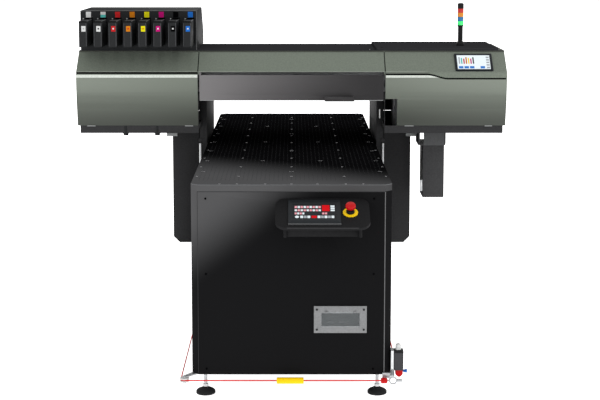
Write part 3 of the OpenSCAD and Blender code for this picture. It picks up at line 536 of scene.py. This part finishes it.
switch_y = Y_FRONT + 25
switch = Piece("rope_switch_body", "cabinet")
switch.box((405.2, 416), (switch_y - 22, switch_y + 22), (103, 190), "bright_steel")
switch.box((417.5, 455), (switch_y - 20, switch_y + 20), (107, 185), "switch_grey")
switch.box((416, 456), (switch_y - 17, switch_y + 17), (112, 180), "switch_grey")
switch.box((419, 453), (switch_y - 21, switch_y - 19), (112, 180), "switch_grey")
switch.lathe([(14, 184.5), (14, 190)], (436, switch_y, 0), "black_plastic", steps=6)
switch.lathe(
    [(12.5, 190), (12.5, 197), (11, 198), (11.4, 200), (11.4, 206), (9.5, 213), (5, 215), (1, 215)],
    (436, switch_y, 0), "white", steps=24,
)
switch.box((404, 456), (switch_y - 20.5, switch_y + 20.5), (180, 189), "black_plastic")
switch.along_y(
    (switch_y - 14, switch_y + 13.8),
    [(424, 106), (454, 106), (454, 90), (447, 81), (439, 77.5), (431, 81), (424, 90)], "red",
)
switch.done("rope_switch", bevel=0.8, slot="grey_plastic")

# ---------------------------------------------------------------- printer covers
covers = Piece("cover_details", "printer")


def front_strip(x, z, key, lift=0.7):
    steps = 4
    rows = [z[0] + (z[1] - z[0]) * i / steps for i in range(steps + 1)]
    outline = [(front_y(h) - lift, h) for h in rows] + [(front_y(h) + 1, h) for h in rows[::-1]]
    covers.along_x(x, outline, key)


front_strip((-END_X + 0.5, -SEAM_X - 2), (STRIP_Z, STRIP_TOP_Z), "silver_strip")


def band_edge(x):
    """Height of the band's lower edge on the right cover, which sinks in an S-curve."""
    t = min(1, max(0, (x - CURVE_X) / CURVE_LEN))
    return BAND_LOW_Z - BAND_SINK * t * t * (3 - 2 * t)


# the dark strips in the groove are painted shade
for x in range(SEAM_X + 2, END_X - CURVE_STEP, CURVE_STEP):
    edge = band_edge(x + CURVE_STEP / 2)
    ends = (x, x + CURVE_STEP)
    if edge < BAND_LOW_Z - 0.1:
        front_strip(ends, (edge, BAND_Z - 1.6), "olive")
    front_strip(ends, (edge - GROOVE_WIDTH, edge), "painted_shade_and_black", lift=0.5)
    strip_top = min(STRIP_TOP_Z - 2, edge - GROOVE_WIDTH - 0.5)
    if strip_top > STRIP_Z + 0.5:
        front_strip(ends, (STRIP_Z, strip_top), "silver_strip")
for side in (-1, 1):
    seam = sorted((side * (SEAM_X - 1.5), side * (SEAM_X + 2.5)))
    covers.along_x(
        seam,
        [
            (BAND_Y - 0.4, BAND_Z + 1), (BAND_Y + 6, BAND_Z + 1),
            (LIP_Y + 3, LIP_Z - 4), (LIP_Y - 0.4, LIP_Z),
        ],
        "painted_shade_and_black",
    )
for x in ((-END_X + 1, -SEAM_X - 2), (-SEAM_X + 2, SEAM_X - 2), (SEAM_X + 3, END_X - 1)):
    # painted highlight on the band's lower edge, and painted shade on the lip's front face
    covers.box(x, (BAND_Y - 0.8, BAND_Y + 1), (BAND_Z - 1.6, BAND_Z + 0.6), "olive_highlight")
    covers.box(x, (LIP_Y - 0.8, LIP_Y + 1), (LIP_Z - 1, TOP_Z - 2.4), "olive_painted_shade")
    covers.along_x(
        x,
        [
            (BAND_Y - 0.3, BAND_Z + 0.6), (BAND_Y + 2, BAND_Z),
            (LIP_Y + 2, LIP_Z - 2), (LIP_Y - 0.3, LIP_Z),
        ],
        "olive",
    )
# painted shade on the groove's face on the left cover
covers.box((-END_X + 1, -SEAM_X - 2), (BAND_Y - 0.5, BAND_Y + 1), (GROOVE_Z + 3.2, BAND_Z - 1.6), "painted_shade_and_black")
# painted shade on a strip of the raised lid
covers.box((990, 1016), (14, 475), (TOP_Z + 0.1, TOP_Z + 0.8), "olive_painted_shade")
covers.box((641, 741), (60, 61.4), (863, 938), "bracket")
for x in ((-972, -933), (-507, -469), (538, 580), (919, 954)):
    covers.box(x, (front_y(977) - 2, front_y(977) + 8), (PANEL_Z - 3, PANEL_Z + 0.5), "light_grey")
for x in (-790, -640):
    covers.rod(14.5, (936, 973), (x, G_Y + 49, 0), "tray_black", steps=24)
    covers.rod(12, (927, 937), (x, G_Y + 49, 0), "black_plastic", steps=24)
covers.box((418, 423), (G_Y + 60, G_Y + 70), (1007, 1050), "white")
for side in (-1, 1):
    plate = sorted((side * 564, side * 616))
    covers.box(plate, (176, 186), (892, 907), "light_grey")
# dark disc: painted shade in a hole in the raised lid
covers.rod(3.5, (RAISED_Z, RAISED_Z + 1.6), (434, 60, 0), "painted_shade_and_black", steps=16)
covers.rod(3.2, (TOP_Z, TOP_Z + 1.6), (376, 60, 0), "steel", steps=16)
covers.done(bevel=0.3)

handle = Piece("cover_handle_details", "front_cover")
handle.box((157, 294), (G_Y - 28.6, G_Y - 17.6), (1096.4, 1098.2), "light_grey")
handle.box((-434, 434), (front_y(1098) - 0.8, front_y(1098) + 2), (1097.2, 1099.8), "light_grey")
handle.done(bevel=0.3)

tower = Piece("signal_light", "printer")
TOWER = (826, 187, RAISED_Z)
tower.lathe(
    [(19, 0), (20, 1.5), (20, 8), (17.5, 14), (13, 19), (12, 24), (12, 93), (14.6, 95), (14.6, 100)],
    TOWER, "black_plastic", steps=40,
)
for i, key in enumerate(("lamp_green", "lamp_blue", "lamp_amber", "lamp_red")):
    z = 100 + 20.2 * i
    tower.lathe([(14.2, z), (14.7, z + 1), (14.7, z + 19), (14.2, z + 20)], TOWER, key, steps=40)
    tower.rod(14.0, (z + 19.9, z + 20.4), TOWER, "black_plastic", steps=40)
tower.lathe(
    [(14.9, 181), (14.9, 201), (14, 205), (11, 207.4), (5, 208), (1, 208)],
    TOWER, "black_plastic", steps=40,
)
tower.done("signal_tower", slot="lamp_plastic")

# Control screen on the sloping band, with a generic layout
screen = Piece("screen_layout", "printer")
here = on_band(863)
screen.box((-78, 78), (9.5, 103.5), (6.1, 6.6), "screen_white", here)
for i, key in enumerate(("screen_grey", "teal", "red", "orange", "yellow", "magenta", "black_plastic")):
    x = -70 + 11 * i
    screen.box((x, x + 6), (46, 90 - 5 * (i % 3)), (6.5, 6.9), key, here)
for x in (-72, -46, -20, 30):
    screen.box((x, x + 21), (15, 30), (6.5, 6.9), "screen_blue", here)
for row in range(5):
    y = 16 + 17 * row
    screen.box((60, 74), (y, y + 10), (6.5, 6.9), "screen_grey", here)
screen.done(bevel=0.1)

# Small metal latch on the waste bottle's case
latch = Piece("waste_latch", "printer")
latch.box((625.4, 638), (66.4, 85.6), (636.4, 690.6), "steel")
latch.box((628, 636), (64.6, 66.6), (660, 684), "bright_steel")
latch.done(bevel=0.6)

# ---------------------------------------------------------------- ink supply
LABELS = (
    ("white", "white", "white", "light_grey"), ("white", "teal", "white", "painted_shade_and_black"),
    ("red", "red", "red", "white"), ("orange", "orange", "orange", "red"),
    ("label_yellow", "label_yellow", "label_yellow", "orange"),
    ("magenta", "magenta", "magenta", "white"),
    ("painted_shade_and_black", "painted_shade_and_black", "painted_shade_and_black", "white"), ("blue", "blue", "blue", "white"),
)
rack = Piece("rack_labels", "printer")
for i, (upper, lower, nose, mark) in enumerate(LABELS):
    x = TRAY_X0 + TRAY_PITCH * i
    face = LIP_Y - 1.2
    rack.box((x + 10.5, x + 34.5), (face, LIP_Y + 0.5), (1498, 1512), upper)
    rack.box((x + 10.5, x + 34.5), (face, LIP_Y + 0.5), (1485, 1498), lower)
    # painted shade in the slot under each label
    rack.box((x + 8, x + 42), (face + 0.6, LIP_Y + 0.5), (1479.6, 1483.5), "painted_shade_and_black")
    rack.along_y((face + 0.4, LIP_Y + 0.5), [(x - 5, 1475), (x - 5, 1483), (x + 2, 1479)], "light_grey")
    tray = Piece("tray_nose_%d" % (i + 1), "ink_tray_%d" % (i + 1))
    y = TRAY_FRONT
    tray.box((x + 0.6, x + TRAY_W - 0.6), (y - 1.6, y + 4), (1357, 1470), "tray_black")
    # lighter strips on the tray front's edges: painted highlights
    tray.box((x + 1, x + 4), (y - 3.0, y), (1360, 1466), "tray_edge_highlight")
    tray.box((x + TRAY_W - 5, x + TRAY_W - 1), (y - 3.0, y), (1360, 1468), "tray_edge_highlight")
    # painted shade in the slot above the tray
    tray.box((x + 1, x + TRAY_W - 1), (y - 2.4, y + 1), (1471.5, 1476), "painted_shade_and_black")
    tray.box((x + 13, x + 32.5), (y - 3.2, y - 1), (1428, 1454), nose)
    tray.box((x + 19, x + 26.5), (y - 3.8, y - 2), (1438, 1445), mark)
    # painted highlight along the tray's top right edge
    tray.box((x + TRAY_W - 2.8, x + TRAY_W + 0.2), (y + 2, LIP_Y - 4), (1474.6, 1476.6), "fold_highlight")
    tray.done(bevel=0.4)
# painted highlights along the rack's top and right edges
rack.box((-1006.5, -453.5), (LIP_Y - 0.6, LIP_Y + 2), (1515.8, 1518.6), "fold_highlight")
rack.box((-455, -452.6), (LIP_Y - 0.6, LIP_Y + 2), (1330, 1518), "fold_highlight")
rack.done(bevel=0.3)

# ---------------------------------------------------------------- stage
ground = bpy.data.meshes.new("ground")
g = 40.0
ground.from_pydata([(-g, -g, 0), (g, -g, 0), (g, g, 0), (-g, g, 0)], [], [(0, 1, 2, 3)])
ground.materials.append(
    material("ground_white", (250, 250, 250), 0.9, grain=0.005, scale=2, bump=0, glow=1.0)
)
floor = bpy.data.objects.new("ground", ground)
bpy.context.scene.collection.objects.link(floor)

world = bpy.data.worlds.new("studio")
bpy.context.scene.world = world
world.use_nodes = True
world.node_tree.nodes["Background"].inputs["Color"].default_value = (1, 1, 1, 1)
world.node_tree.nodes["Background"].inputs["Strength"].default_value = 1.0


def lamp(name, at, target, size, watts):
    data = bpy.data.lights.new(name, "AREA")
    data.shape = "RECTANGLE"
    data.size, data.size_y = size
    data.energy = watts
    light = bpy.data.objects.new(name, data)
    light.visible_camera = False
    light.location = at
    light.rotation_mode = "QUATERNION"
    light.rotation_quaternion = (Vector(target) - Vector(at)).to_track_quat("-Z", "Y")
    bpy.context.scene.collection.objects.link(light)


lamp("key", (3.5, -5.0, 4.5), (0, 0, 0.8), (3, 3), 40)

camera_data = bpy.data.cameras.new("camera")
camera_data.lens = 83.97
camera_data.sensor_width = 36
camera_data.shift_x = 0.0125
camera_data.shift_y = -0.13
camera_data.clip_end = 200
camera = bpy.data.objects.new("camera", camera_data)
camera.location = (0.0044, -6.6658, 1.8403)
camera.rotation_euler = (math.radians(90 - 7.18), 0, 0)
bpy.context.scene.collection.objects.link(camera)
bpy.context.scene.camera = camera
bpy.context.scene.view_settings.view_transform = "Standard"
